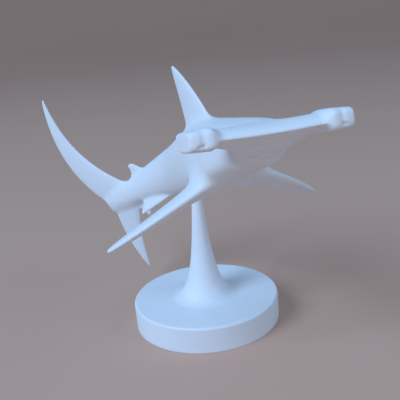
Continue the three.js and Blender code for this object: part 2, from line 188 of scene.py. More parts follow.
# The floor's outline, out from its middle and up, in metres.
FLOOR = (
    (0.2, 0), (0.6, 0), (1.2, 0), (2, 0), (2.6, 0.05), (3, 0.2), (3.3, 0.45), (3.5, 0.8),
    (3.6, 1.25),
)
FLOOR_ROUGHNESS = 0.7

# The point that the lamps face, and the camera: its place in metres, then pan, tilt and roll.
LIT_POINT = (0, 0, 0.08)
CAMERA_PLACE = (0, -0.3062, 0.1638)
CAMERA_ANGLES = (0.32, 17.23, 5.44)
CAMERA_LENS = 54
CAMERA_SENSOR = 36


def length(name, text, mm):
    """A size of the panel, given in millimetres."""
    return bpy.props.FloatProperty(
        name=name, description=text, default=mm * MM, subtype="DISTANCE", unit="LENGTH", precision=5
    )


def angle(name, text, degrees):
    """An angle of the panel, given in degrees."""
    return bpy.props.FloatProperty(
        name=name, description=text, default=math.radians(degrees), subtype="ANGLE", unit="ROTATION"
    )


def share(name, text, value):
    """A plain ratio of the panel."""
    return bpy.props.FloatProperty(name=name, description=text, default=value, precision=3)


def colour(name, text, rgb):
    """A colour of the panel, in linear light."""
    return bpy.props.FloatVectorProperty(
        name=name, description=text, default=rgb, subtype="COLOR", size=3, min=0, max=1
    )


def watts(name, text, value):
    """The power of a lamp."""
    return bpy.props.FloatProperty(
        name=name, description=text, default=value, subtype="POWER", unit="POWER"
    )


def group_of(key, text, fields):
    """A group of the panel from its fields."""
    name = key.title().replace("_", "") + "Sizes"
    return type(name, (bpy.types.PropertyGroup,), {"__annotations__": fields, "__doc__": text})


def fin_group(key, front, rear, span, sweep, thickness, **shape):
    """The sizes of one fin. front and rear are where its root starts and ends on the body."""
    fields = {
        "front": share("Front", "Where the root starts along the body", front),
        "rear": share("Rear", "Where the root ends along the body", rear),
        "span": length("Span", "From the root line out to the tip", span),
        "sweep": length("Sweep", "How far the tip lies behind the root's front", sweep),
        "thickness": length("Thickness", "Thickness at the root", thickness),
        "power": share("Sweep curve", "Above 1 it bends back near the tip", shape.get("power", 1)),
        "bulge": length("Bulge", "How far the leading edge bows out", shape.get("bulge", 0)),
        "hollow": share("Hollow", "How deep the trailing edge curves in", shape.get("hollow", 0)),
        "tip": share("Tip", "Chord at the tip against the root", shape["tip"]),
        "flare": length("Flare", "How far the root swells", shape.get("flare", 0)),
        "turn": angle("Turn", "Lean of a back fin, droop of a side fin", shape.get("turn", 0)),
        "twist": angle("Twist", "Leading edge up", shape.get("twist", 0)),
    }
    return group_of(key, "The sizes of one fin", fields)


def lobe_group(key, span, turn, chord, arc, bend):
    """The sizes of one lobe of the tail fin."""
    fields = {
        "span": length("Length", "From the stalk out to the tip", span),
        "turn": angle("Angle", "From the body's line", turn),
        "chord": length("Chord", "Width at the root", chord),
        "arc": length("Arc", "How far the lobe bows back", arc),
        "bend": length("Bend", "How far the tip bends to the shark's left", bend),
        "thickness": length("Thickness", "Thickness at the root", 4.2),
    }
    return group_of(key, "The sizes of one lobe of the tail fin", fields)


PECTORAL = dict(front=0.206, rear=0.286, bulge=1.8, hollow=0.06, flare=1.6)
PELVIC = dict(front=0.525, rear=0.649, thickness=2.8)
FINS = {
    "first_dorsal": dict(
        front=0.247, rear=0.384, span=36, sweep=33.5, turn=3, thickness=4.4, power=1.15, bulge=1.9,
        tip=0.12,
    ),
    "second_dorsal": dict(
        front=0.597, rear=0.665, span=9.6, sweep=7.5, thickness=2.6, power=0.84, hollow=0.2,
        tip=0.28,
    ),
    "pectoral_left": dict(
        PECTORAL, span=43.1, sweep=36, turn=19.5, thickness=6.8, power=1.1, tip=0.45, twist=4.5
    ),
    "pectoral_right": dict(
        PECTORAL, span=52, sweep=23.6, turn=19.8, thickness=7.6, power=1.28, tip=0.49, twist=-6
    ),
    "pelvic_left": dict(PELVIC, span=11.6, sweep=36.5, turn=99, power=0.6, tip=0.05),
    "pelvic_right": dict(PELVIC, span=9.9, sweep=32, turn=54, power=1.07, tip=0.08),
}
LOBES = {
    "tail_upper": dict(span=77, turn=77.5, chord=23, arc=10.4, bend=5.3),
    "tail_lower": dict(span=48.5, turn=70, chord=20, arc=3, bend=0),
}


class BodySizes(bpy.types.PropertyGroup):
    """The shark's length and the way its body swims and bends."""

    length: length("Length", "From the snout to the tail fin's tips, along the body", 285)
    middle: bpy.props.FloatVectorProperty(
        name="Middle", description="Where the body's middle is", default=(0.001, -0.009, 0.0935),
        subtype="TRANSLATION", unit="LENGTH", precision=4,
    )
    heading: angle("Heading", "Way that the middle swims, clockwise from +X", 74)
    pitch: angle("Pitch", "Nose up", 23)
    roll: angle("Roll", "Left side up", 9.5)
    nose_heading: angle("Nose heading", "Turn from the middle to the snout", 4.8)
    nose_pitch: angle("Nose pitch", "Turn from the middle to the snout", -18)
    nose_roll: angle("Nose roll", "Turn from the middle to the snout", -8.1)
    tail_heading: angle("Tail heading", "Turn from the middle to the tail", -54)
    tail_pitch: angle("Tail pitch", "Turn from the middle to the tail", 3)
    voxel: length("Grain", "Size of the cells that the skin is blended in", 0.45)
    triangles: bpy.props.IntProperty(
        name="Triangles", description="Most triangles of the skin", default=190000, min=20000
    )


class HammerSizes(bpy.types.PropertyGroup):
    """The hammer across the head, with its thick end lobes."""

    half: length("Half width", "From the middle of the hammer to its end", 30)
    middle_chord: length("Middle chord", "Front to back in the middle", 24)
    lobe_chord: length("Lobe chord", "Front to back of an end lobe", 17)
    sweep: length("Sweep", "How far the ends lie behind the middle", 2)
    tilt: angle("Tilt", "Leading edge up", 6)
    lift: length("Lift", "Height above the body line", 0.7)
    rise: length("Rise", "How far the ends lie above the middle", 0.9)
    lead: length("Lead", "How far the leading edge lies above the middle of the chord", -0.6)
    step: length("Step", "How far a lobe's front stands before the leading edge", 1.66)
    bevel: length("Bevel", "How much shorter the hammer is along its front", 1.4)
    lobe_start: share("Lobe start", "Where a lobe starts, from the middle to the end", 0.64)
    lobe_slope: share("Lobe slope", "How much a lobe's top falls towards the hammer's end", 0.8)
    blockiness: share("Blockiness", "How square a lobe's section is: 2 is an ellipse", 4.4)
    rim: share("Rim", "Where the mouth's rim is along the chord", 0.6)
    snout_shift: share("Snout shift", "How far the snout lies to the shark's left", 0.03)
    eye_radius: length("Eye radius", "Half an eye's width", 2)
    eye_bulge: length("Eye bulge", "How far an eye stands out", 0.14)


class GrooveSizes(bpy.types.PropertyGroup):
    """The lines that are pressed into the skin."""

    slit_width: length("Slit width", "Width of a gill slit", 0.55)
    slit_depth: length("Slit depth", "Depth of a gill slit", 0.17)
    mouth_width: length("Mouth width", "Width of the mouth's line", 0.7)
    mouth_depth: length("Mouth depth", "Depth of the mouth's line", 1)
    nostril_width: length("Nostril width", "Width of a nostril", 0.9)
    nostril_depth: length("Nostril depth", "Depth of a nostril", 0.65)
    crease_width: length("Crease width", "Width of the print's creases", 0.55)
    crease_depth: length("Crease depth", "Depth of the print's creases", 0.45)


class StandSizes(bpy.types.PropertyGroup):
    """The round base and the trumpet column."""

    base_radius: length("Base radius", "Radius of the base", 40)
    base_thickness: length("Base thickness", "Thickness of the base", 14.2)
    edge: length("Edge", "Radius of the base's upper edge", 1.2)
    column_radius: length("Column radius", "Radius of the column without its flare", 10.6)
    taper_height: length("Taper height", "Height in which the column thins to a third", 42)
    flare: length("Flare", "How far the column's foot spreads", 4.8)
    flare_height: length("Flare height", "Height in which the flare fades to a third", 6)
    toe: length("Toe", "How far the foot's thin edge runs out over the base", 3)
    toe_height: length("Toe height", "Height in which the toe fades to a third", 0.75)
    column_height: length("Column height", "From the base up into the belly", 75)


class Finish(bpy.types.PropertyGroup):
    """The plastic and the print's layers."""

    plastic: colour("Plastic", "Colour of the plastic", (0.78, 0.82, 0.88))
    # A darker tone of the plastic, mixed in both for its random cloudiness and as painted shade in
    # the grooves between layers.
    hollow: colour("Hollows", "Colour of the plastic between layers", (0.68, 0.72, 0.78))
    layer: length("Layer", "Height of a printed layer", 0.28)
    relief: length("Relief", "How far a layer's edge stands out", 0.012)
    terrace: length("Terrace", "Height between ragged terraces on the nearly flat parts", 0.9)
    terrace_relief: length("Terrace relief", "How far a terrace's edge stands out", 0.06)
    mark_radius: length("Mark radius", "Radius of a mark that a support left", 0.34)


class StageSizes(bpy.types.PropertyGroup):
    """The floor and the lights."""

    floor: colour("Floor", "Colour of the floor", (0.64, 0.4, 0.3))
    sky: colour("Sky", "Colour of the light from all round", (0.5, 0.72, 1.0))
    sky_strength: share("Sky strength", "Strength of the light from all round", 0.44)
    key_power: watts("Key power", "Power of the main light", 56)
    fill_power: watts("Fill power", "Power of the second light", 3)
    bounce_power: watts("Bounce power", "Power of the low warm light", 0.4)
    cool: colour("Cool light", "Colour of the upper lamps", (0.48, 0.71, 1.0))
    warm: colour("Warm light", "Colour of the low lamp", (1.0, 0.8, 0.66))


PARTS = {
    "body": BodySizes,
    "hammer": HammerSizes,
    **{key: fin_group(key, **sizes) for key, sizes in FINS.items()},
    **{key: lobe_group(key, **sizes) for key, sizes in LOBES.items()},
    "grooves": GrooveSizes,
    "stand": StandSizes,
    "finish": Finish,
    "stage": StageSizes,
}


class Statuette(bpy.types.PropertyGroup):
    """All sizes and colours of the statuette."""

    __annotations__ = {key: bpy.props.PointerProperty(type=group) for key, group in PARTS.items()}


def sign(operation):
    """The two methods of a sign, plain and reflected, which add a Math node."""

    def plain(self, other):
        return self.tree.math(operation, self, other)

    def reflected(self, other):
        return self.tree.math(operation, other, self)

    return plain, reflected


class Value:
    """A number in a node tree, which sums and products can be written with."""

    __add__, __radd__ = sign("ADD")
    __sub__, __rsub__ = sign("SUBTRACT")
    __mul__, __rmul__ = sign("MULTIPLY")
    __truediv__, __rtruediv__ = sign("DIVIDE")
    __pow__, __rpow__ = sign("POWER")

    def __init__(self, tree, socket):
        self.tree = tree
        self.socket = socket

    def __neg__(self):
        return self * -1


class Tree:
    """A node tree that is built line by line."""

    def __init__(self, tree):
        self.tree = tree

    def node(self, kind, settings=None, inputs=None):
        """A new node. Its settings are made before its sockets are fed."""
        made = self.tree.nodes.new(kind)
        for key, value in (settings or {}).items():
            setattr(made, key, value)
        for key, value in (inputs or {}).items():
            found = [s for s in made.inputs if s.identifier == key]
            self.feed(found[0] if found else made.inputs[key], value)
        return made

    def feed(self, socket, value):
        if isinstance(value, Value):
            self.tree.links.new(value.socket, socket)
        else:
            socket.default_value = value

    def value(self, kind, settings=None, inputs=None, output=0):
        return Value(self, self.node(kind, settings, inputs).outputs[output])

    def math(self, operation, *numbers):
        return self.value("ShaderNodeMath", {"operation": operation}, dict(enumerate(numbers)))

    def exponent(self, number):
        return self.math("EXPONENT", number)

    def noise(self, place, scale, detail):
        inputs = {"Vector": place, "Scale": scale, "Detail": detail}
        return self.value("ShaderNodeTexNoise", inputs=inputs)

    def vector(self, x, y, z):
        return self.value("ShaderNodeCombineXYZ", inputs={"X": x, "Y": y, "Z": z})

    def parts(self, vector):
        """The three numbers of a vector."""
        made = self.node("ShaderNodeSeparateXYZ", inputs={0: vector})
        return [Value(self, socket) for socket in made.outputs]

    def mix(self, factor, first, second):
        """A colour between two others."""
        inputs = {"Factor_Float": factor, "A_Color": first, "B_Color": second}
        made = self.node("ShaderNodeMix", {"data_type": "RGBA"}, inputs)
        return Value(self, next(s for s in made.outputs if s.identifier == "Result_Color"))


class Recipe(Tree):
    """A Geometry Nodes tree with named inputs, which makes or changes one piece."""

    def __init__(self, name):
        super().__init__(bpy.data.node_groups.new(name, "GeometryNodeTree"))
        self.given = {}

    def input(self, name, kind, value=None, subtype=None):
        kind_name = f"NodeSocket{kind}"
        socket = self.tree.interface.new_socket(name=name, in_out="INPUT", socket_type=kind_name)
        if subtype:
            socket.subtype = subtype
        if value is not None and kind not in ("Object", "Material"):
            socket.default_value = value
        self.given[socket.identifier] = (name, value)

    def inputs(self):
        """The tree's own inputs, by name, once they have all been named."""
        start = self.tree.nodes.new("NodeGroupInput")
        return {s.name: Value(self, s) for s in start.outputs if s.name}

    def finish(self, geometry, material):
        """Ends the tree in plain geometry with its material."""
        interface = self.tree.interface
        interface.new_socket(name="Geometry", in_out="OUTPUT", socket_type="NodeSocketGeometry")
        smooth = self.value("GeometryNodeSetShadeSmooth", inputs={"Geometry": geometry})
        plain = self.value("GeometryNodeRealizeInstances", inputs={"Geometry": smooth})
        inputs = {"Geometry": plain, "Material": material}
        dressed = self.value("GeometryNodeSetMaterial", inputs=inputs)
        self.feed(self.tree.nodes.new("NodeGroupOutput").inputs[0], dressed)

    def put_on(self, thing):
        """Puts the tree on an object as a modifier, with its inputs filled in."""
        modifier = thing.modifiers.new(self.tree.name, "NODES")
        modifier.node_group = self.tree
        for identifier, (_, value) in self.given.items():
            if value is not None:
                modifier[identifier] = value


def mesh_object(name, points, faces, material):
    """A smooth mesh object from points in metres, with its place in its mesh."""
    mesh = bpy.data.meshes.new(name)
    mesh.from_pydata([tuple(p) for p in points], [], [tuple(f) for f in faces])
    mesh.polygons.foreach_set("use_smooth", [True] * len(mesh.polygons))
    mesh.materials.append(material)
    thing = bpy.data.objects.new(name, mesh)
    bpy.context.scene.collection.objects.link(thing)
    return thing


def made_plain(thing):
    """Turns what an object's modifiers show into its own mesh, and takes them off."""
    graph = bpy.context.evaluated_depsgraph_get()
    mesh = bpy.data.meshes.new_from_object(thing.evaluated_get(graph))
    mesh.name = thing.name
    old = thing.data
    thing.modifiers.clear()
    thing.data = mesh
    bpy.data.meshes.remove(old)
    return thing


def unit(vectors):
    return vectors / np.linalg.norm(vectors, axis=-1, keepdims=True)


def smoothstep(value, low, high):
    t = np.clip((value - low) / (high - low), 0, 1)
    return t * t * (3 - 2 * t)


def between(first, second, factor):
    return first + (second - first) * factor


def squared(value, power):
    return np.sign(value) * np.abs(value) ** power


def bell(value, middle, width):
    """1 at the middle, falling to about a third one width away."""
    return np.exp(-(((value - middle) / width) ** 2))


def round_turn(sides):
    """Even steps once round."""
    return np.linspace(0, TURN, sides, endpoint=False)


def turned(vectors, axis, radians):
    """Vectors turned about an axis."""
    turn = np.array(Matrix.Rotation(radians, 3, Vector(axis)))
    return vectors @ turn.T


def curve_through(places, values):
    """A smooth curve through values at places, which never overshoots them."""
    places, values = np.array(places, float), np.array(values, float)
    steps = np.diff(places)
    slopes = np.diff(values) / steps
    before, after = slopes[:-1], slopes[1:]
    same_way = before * after > 0
    joint = np.where(same_way, before + after, 1)
    inner = np.where(same_way, 2 * before * after / joint, 0)
    tangents = np.concatenate((slopes[:1], inner, slopes[-1:]))

    def curve(place):
        i = np.clip(np.searchsorted(places, place, "right") - 1, 0, len(steps) - 1)
        t = np.clip((place - places[i]) / steps[i], 0, 1)
        start = values[i] * (1 + 2 * t) + steps[i] * tangents[i] * t
        end = values[i + 1] * (3 - 2 * t) + steps[i] * tangents[i + 1] * (t - 1)
        return start * (1 - t) ** 2 + end * t**2

    return curve


class Place:
    """Points on the body line with the body's forward, left and up directions there."""

    def __init__(self, point, forward, left, up):
        self.point = point
        self.forward = forward
        self.left = left
        self.up = up

    def at(self, ahead, left, up):
        """Points measured from here along the body's own directions."""
        steps = zip((ahead, left, up), (self.forward, self.left, self.up))
        return self.point + sum(np.asarray(size)[..., None] * way for size, way in steps)


class Body:
    """The body line and the body's girth along it, in millimetres."""

    STEPS = 148

    def __init__(self, sizes):
        self.sizes = sizes
        self.length = sizes.length / MM
        places, *girth = zip(*GIRTH)
        self.half, self.above, self.below = (curve_through(places, row) for row in girth)
        self.boxy = curve_through(*zip(*BOXY))
        self.waist = curve_through(*zip(*WAIST))
        self.ridge = curve_through(*zip(*RIDGE))
        at = np.linspace(0, BODY_END, self.STEPS + 1)
        step = BODY_END / self.STEPS
        forward = self.directions(at[1:] - step / 2)[0]
        line = np.concatenate((np.zeros((1, 3)), np.cumsum(-forward * self.length * step, axis=0)))
        middle = line[round(MIDDLE / BODY_END * self.STEPS)]
        self.line = line + np.array(sizes.middle) / MM - middle

    def directions(self, at):
        sizes = self.sizes
        ahead = np.clip((MIDDLE - at) / MIDDLE, 0, 1) ** NOSE_EASE
        behind = np.clip((at - MIDDLE) / (BODY_END - MIDDLE), 0, 1) ** TAIL_EASE
        heading = sizes.heading + sizes.nose_heading * ahead + sizes.tail_heading * behind
        pitch = sizes.pitch + sizes.nose_pitch * ahead + sizes.tail_pitch * behind
        roll = (sizes.roll + sizes.nose_roll * ahead)[..., None]
        level = np.cos(pitch)
        forward = np.stack((np.cos(heading) * level, -np.sin(heading) * level, np.sin(pitch)), -1)
        left = unit(np.cross((0, 0, 1), forward))
        up = np.cross(forward, left)
        rolled = left * np.cos(roll) + up * np.sin(roll)
        return forward, rolled, up * np.cos(roll) - left * np.sin(roll)

    def place(self, at):
        at = np.asarray(at, float)
        steps = np.arange(self.STEPS + 1)
        spot = at / BODY_END * self.STEPS
        point = np.stack([np.interp(spot, steps, self.line[:, i]) for i in range(3)], -1)
        return Place(point, *self.directions(at))

    def around(self, at, turn):
        """Points of the body's surface: turn goes round the section from the shark's left."""
        at, turn = np.broadcast_arrays(np.asarray(at, float), turn)
        square = np.where(np.sin(turn) < 0, 2 / self.boxy(at), 1)
        rise = squared(np.sin(turn), square)
        waist = 1 - self.waist(at) * bell(rise, *WAIST_BAND)
        crown = 1 - CROWN * np.maximum(rise, 0) ** 2
        across = self.half(at) * squared(np.cos(turn), square) * crown * waist
        lift = rise * np.where(rise > 0, self.above(at), self.below(at))
        swell = 1 + self.ridge(at) * bell(np.sin(turn), *RIDGE_BAND)
        return self.place(at).at(np.zeros(at.shape), across * swell, lift * swell)

    def rings(self, count=150, sides=72):
        at = np.linspace(BODY_START, BODY_END, count)[:, None]
        return self.around(at, round_turn(sides))


class Fin:
    """A fin's surface, from its root (0) to its tip (1), in millimetres."""

    # The end is rounded by a power, and keeps these shares of the chord and thickness there.
    ROUNDING = 10
    END_CHORD = 0.25
    END_THICKNESS = 0.35
    # How much thinner the fin gets, how far out its root swells, and how much of that in thickness.
    THINNING = 0.6
    FLARE_REACH = 0.2
    FLARE_THICKNESS = 0.5
    PLAIN = dict(power=1, tip=0.14, bulge=0, arc=0, bend=0, hollow=0, flare=0)

    def __init__(self, root, chordwise, outward, chord, **sizes):
        self.root = root
        self.chordwise = chordwise
        self.outward = outward
        self.across = unit(np.cross(chordwise, outward))
        self.chord = chord
        self.sizes = dict(self.PLAIN, **sizes)

    def around(self, x, turn):
        size = self.sizes
        chord = self.chord
        hump = 4 * x * (1 - x)
        back = size["sweep"] * x ** size["power"] + size["arc"] * hump
        lead = size["bulge"] * hump - back
        rear = size["hollow"] * chord * hump - chord * (1 - x) - chord * size["tip"] * x - back
        rounding = np.sqrt(np.maximum(0, 1 - x**self.ROUNDING))
        swell = size["flare"] * bell(x, 0, self.FLARE_REACH)
        half_chord = (lead - rear) / 2 * between(self.END_CHORD, 1, rounding) + swell
        thinned = size["thickness"] / 2 * (1 - self.THINNING * x)
        rounded = thinned * between(self.END_THICKNESS, 1, rounding)
        half_thick = rounded + swell * self.FLARE_THICKNESS
        along = (lead + rear) / 2 + half_chord * np.cos(turn)
        aside = size["bend"] * x * x + half_thick * np.sin(turn)
        out = x * size["span"] + 0 * turn
        steps = ((out, self.outward), (along, self.chordwise), (aside, self.across))
        return self.root + sum(step[..., None] * way for step, way in steps)

    def rings(self, count=60, sides=56):
        x = np.sin(np.linspace(0, math.pi / 2, count))[:, None]
        return self.around(x, round_turn(sides))


def root_line(body, sizes, side, height):
    """Where a fin's root starts on the body, its direction and its length."""
    ends = []
    for at in (sizes.front, sizes.rear):
        lift = body.above(at) if height > 0 else body.below(at)
        ends.append(body.place(at).at(0, body.half(at) * side, lift * height))
    chordwise = ends[0] - ends[1]
    chord = np.linalg.norm(chordwise)
    return ends[0], chordwise / chord, chord


def square_to(chordwise, way):
    return unit(way - chordwise * (way @ chordwise))


def fin_sizes(sizes):
    """A fin's sizes as plain numbers, lengths in millimetres."""
    keys = ("span", "sweep", "thickness", "bulge", "flare")
    plain = {key: getattr(sizes, key) / MM for key in keys}
    return dict(plain, power=sizes.power, hollow=sizes.hollow, tip=sizes.tip)


def median_fin(body, sizes):
    root, chordwise, chord = root_line(body, sizes, 0, DORSAL_ROOT_HEIGHT)
    place = body.place((sizes.front + sizes.rear) / 2)
    outward = square_to(chordwise, turned(place.up, place.forward, -sizes.turn))
    return Fin(root, chordwise, outward, chord, **fin_sizes(sizes))


def paired_fin(body, sizes, side, inset, height):
    root, chordwise, chord = root_line(body, sizes, side * inset, height)
    place = body.place(sizes.front)
    way = place.left * side * math.cos(sizes.turn) - place.up * math.sin(sizes.turn)
    outward = square_to(chordwise, way)
    chordwise = turned(chordwise, outward, -side * sizes.twist)
    return Fin(root, chordwise, outward, chord, **fin_sizes(sizes))


def tail_lobe(body, sizes, way):
    """A lobe of the tail fin. way is 1 for the upper one and -1 for the lower one."""
    place = body.place(TAIL_ROOT)
    sine, cosine = math.sin(sizes.turn), math.cos(sizes.turn)
    outward = place.up * way * sine - place.forward * cosine
    chordwise = place.forward * sine + place.up * way * cosine
    chord = sizes.chord / MM
    up, down = body.above(TAIL_ROOT) * LOBE_ROOT_UP, body.below(TAIL_ROOT) * LOBE_ROOT_DOWN
    root = place.at(chord * LOBE_ROOT_AHEAD, 0, up if way > 0 else down)
    root = root + chordwise * chord * LOBE_ROOT_ALONG
    plain = {key: getattr(sizes, key) / MM for key in ("span", "thickness", "arc")}
    bend = -sizes.bend / MM
    return Fin(root, chordwise, outward, chord, sweep=chord * LOBE_SWEEP, bend=bend, **plain)


class Hammer:
    """The hammer's surface, from its right end (-1) to its left end (1), in millimetres."""

    # Height above the middle of the chord and depth below it, in millimetres.
    MIDDLE = (3.6, 8.4)
    WING = (3.5, 2.9)
    LOBE = (4, 3.6)
    # Places from the middle (0) to the end (1): half of the step up to a lobe, where a lobe has its
    # own height, how far the thick middle and the snout reach, and where rounding and bevel start.
    LOBE_STEP = 0.07
    LOBE_LEVEL = 0.82
    MIDDLE_REACH = 0.75
    MIDDLE_POWER = 1.5
    SNOUT_REACH = 0.7
    END_START = 0.93
    END_SIZE = 0.8
    BEVEL_START = 0.78
    # The valley down a lobe's front: how deep it is in millimetres, its place and its width.
    VALLEY = 0.5
    VALLEY_BAND = (0.8, 0.04)

    def __init__(self, body, sizes):
        self.sizes = sizes
        place = body.place(0)
        forward = turned(place.forward, place.left, -sizes.tilt)
        up = turned(place.up, place.left, -sizes.tilt)
        self.place = Place(place.point, forward, place.left, up)
        for name in "half middle_chord lobe_chord sweep lift rise lead step bevel".split():
            setattr(self, name, getattr(sizes, name) / MM)

    def around(self, across, turn):
        """Points of the surface; turn starts at the leading edge and goes over the top."""
        out = np.abs(across)
        start = self.sizes.lobe_start
        in_lobe = smoothstep(out, start - self.LOBE_STEP, start + self.LOBE_STEP)
        in_middle = smoothstep(1 - out / self.MIDDLE_REACH, 0, 1)
        chord = between(self.lobe_chord, self.middle_chord, in_middle)
        lobe_up = self.LOBE[0] * (1 + self.sizes.lobe_slope * (self.LOBE_LEVEL - out))
        wing_up = between(self.WING[0], self.MIDDLE[0], in_middle**self.MIDDLE_POWER)
        up = between(wing_up, lobe_up, in_lobe)
        off_snout = np.abs(across - self.sizes.snout_shift)
        in_snout = smoothstep(1 - off_snout / self.SNOUT_REACH, 0, 1)
        down = between(between(self.WING[1], self.MIDDLE[1], in_snout), self.LOBE[1], in_lobe)
        valley = self.VALLEY * bell(out, *self.VALLEY_BAND)
        front = (self.step - valley) * in_lobe - self.sweep * out**2
        in_end = np.clip((out - self.END_START) / (1 - self.END_START), 0, 1)
        end = between(self.END_SIZE, 1, np.sqrt(1 - in_end**3))
        square = 2 / between(2, self.sizes.blockiness, in_lobe)
        c, s = squared(np.cos(turn), square), squared(np.sin(turn), square)
        # Between the lobes the underside slopes straight down and back to the rim of the mouth.
        back = (1 - c) / 2
        rim = self.sizes.rim
        behind = np.clip((back - rim) / (1 - rim), 0, 1)
        slope = np.where(back < rim, back / rim, np.sqrt(1 - behind**2))
        s = np.where(s < 0, between(-slope, s, in_lobe), s)
        ahead = front - chord / 2 + c * chord / 2 * (0.5 + 0.5 * end)
        droop = self.lead * (1 - in_lobe) * np.maximum(c, 0) ** 2
        height = self.lift + self.rise * out**2 + s * np.where(s > 0, up, down) * end + droop
        bevel = self.bevel * smoothstep(out, self.BEVEL_START, 1) * (1 + c) / 2
        return self.place.at(ahead, across * self.half - np.sign(across) * bevel, height)

    def rings(self, count=141, sides=96):
        across = np.sin(np.linspace(-math.pi / 2, math.pi / 2, count))[:, None]
        return self.around(across, round_turn(sides))


def lofted(rings):
    """The points, four-sided faces and end faces of a closed form through rings of points."""
    count, sides = rings.shape[:2]
    grid = np.arange(count * sides).reshape(count, sides)
    ahead = np.roll(grid, -1, axis=1)
    corners = (grid[:-1], ahead[:-1], ahead[1:], grid[1:])
    quads = np.stack(corners, -1).reshape(-1, 4)
    points = np.concatenate((rings.reshape(-1, 3), rings[[0, -1]].mean(axis=1)))
    first = np.stack((ahead[0], grid[0], np.full(sides, count * sides)), -1)
    last = np.stack((grid[-1], ahead[-1], np.full(sides, count * sides + 1)), -1)
    return points, quads, np.concatenate((first, last))


def soft_union(first, second, joint):
    """Two distance fields made one, with a fillet where their surfaces meet."""
    nearness = np.clip(1 - np.abs(first - second) / joint, 0, None)
    return np.minimum(first, second) - nearness**2 * joint / 4


def blended_surface(forms, voxel):
    """One closed surface round closed forms. Each form is (rings, width of its soft joint)."""
    far = BAND * voxel
    grid = openvdb.createLinearTransform(voxel)
    every = np.concatenate([rings.reshape(-1, 3) for rings, _ in forms])
    low = np.floor(every.min(0) / voxel).astype(int) - BAND
    high = np.ceil(every.max(0) / voxel).astype(int) + BAND
    field = np.full(high - low, far, np.float32)
    for rings, joint in forms:
        points, quads, triangles = lofted(rings)
        start = np.maximum(np.floor(points.min(0) / voxel).astype(int) - BAND, low)
        stop = np.minimum(np.ceil(points.max(0) / voxel).astype(int) + BAND, high)
        form = openvdb.FloatGrid.createLevelSetFromPolygons(
            points.astype(np.float32), triangles.astype(np.uint32), quads.astype(np.uint32),
            grid, BAND,
        )
        block = np.empty(stop - start, np.float32)
        form.copyToArray(block, ijk=tuple(int(i) for i in start))
        window = tuple(slice(a, b) for a, b in zip(start - low, stop - low))
        field[window] = soft_union(field[window], block, joint)
    whole = openvdb.FloatGrid(far)
    whole.copyFromArray(field, ijk=tuple(int(i) for i in low), tolerance=1e-6)
    whole.transform = grid
    return whole.convertToQuads(0.0)


def shark_forms(sizes):
    """Every form of the shark's flesh, each with the width of its soft joint."""
    body = Body(sizes.body)
    yield body.rings(), HEAD_JOINT
    yield Hammer(body, sizes.hammer).rings(), HEAD_JOINT
    yield median_fin(body, sizes.first_dorsal).rings(), DORSAL_JOINT
    yield median_fin(body, sizes.second_dorsal).rings(), SMALL_FIN_JOINT
    for word, side in SIDES.items():
        pectoral, pelvic = (getattr(sizes, f"{fin}_{word}") for fin in ("pectoral", "pelvic"))
        yield paired_fin(body, pectoral, side, *PECTORAL_ROOT).rings(), PECTORAL_JOINT
        yield paired_fin(body, pelvic, side, *PELVIC_ROOT).rings(), SMALL_FIN_JOINT
    yield tail_lobe(body, sizes.tail_upper, 1).rings(), TAIL_JOINT
    yield tail_lobe(body, sizes.tail_lower, -1).rings(), TAIL_JOINT


class Surface:
    """The skin's surface, to lay lines on, in millimetres."""

    def __init__(self, points, faces):
        self.tree = BVHTree.FromPolygons([tuple(p) for p in points], [tuple(f) for f in faces])

    def nearest(self, points):
        return np.array([self.tree.find_nearest(Vector(p))[0] for p in points])

    def struck(self, points, way):
        """Where rays from points first strike the surface; a ray that misses is left out."""
        hits = (self.tree.ray_cast(Vector(p), Vector(way))[0] for p in points)
        return np.array([hit for hit in hits if hit is not None])


def gill_slits(body, surface):
    """The slits on each side, each a line down the flank before the pectoral fin."""
    down = np.radians(np.linspace(*GILLS_DOWN, 13))
    lean = GILL_LEAN * np.linspace(-1, 1, len(down))
    for side in SIDES.values():
        turn = down if side > 0 else math.pi - down
        for at in np.linspace(*GILLS_ALONG, GILL_COUNT):
            yield surface.nearest(body.around(at + lean, turn))


def mouth_line(hammer, surface):
    """The mouth, an arc across the underside."""
    across = np.linspace(*MOUTH_ENDS, 31)
    back = MOUTH_BACK + MOUTH_BOW * (across - MOUTH_MIDDLE) ** 2
    start = hammer.place.at(back, across, np.full(len(across), -ABOVE))
    yield surface.struck(start, hammer.place.up)


def nostrils(hammer, surface):
    """A short slot low on the front of each lobe."""
    height = np.linspace(*NOSTRIL_HEIGHTS, 7)
    for side in SIDES.values():
        across = side * np.linspace(*NOSTRIL_ENDS, len(height)) * hammer.half
        start = hammer.place.at(np.full(len(height), AHEAD), across, height)
        yield surface.struck(start, -hammer.place.forward)


def creases(hammer, surface):
    """Ragged lines over and under the hammer, where a printed layer ends."""
    rough = np.random.default_rng(CREASE_SEED)
    for way, line in CREASES:
        ahead, across = np.array(line, float).T
        along = np.concatenate(([0], np.cumsum(np.hypot(np.diff(ahead), np.diff(across)))))
        spots = np.arange(0, along[-1], CREASE_STEP)
        rough_line = rough.normal(0, CREASE_WANDER, len(spots))
        wander = np.convolve(rough_line, (0.25, 0.5, 0.25), "same")
        ahead, across = (np.interp(spots, along, row) for row in (ahead, across))
        start = hammer.place.at(ahead + wander, across, np.full(len(spots), ABOVE * way))
        yield surface.struck(start, -way * hammer.place.up)


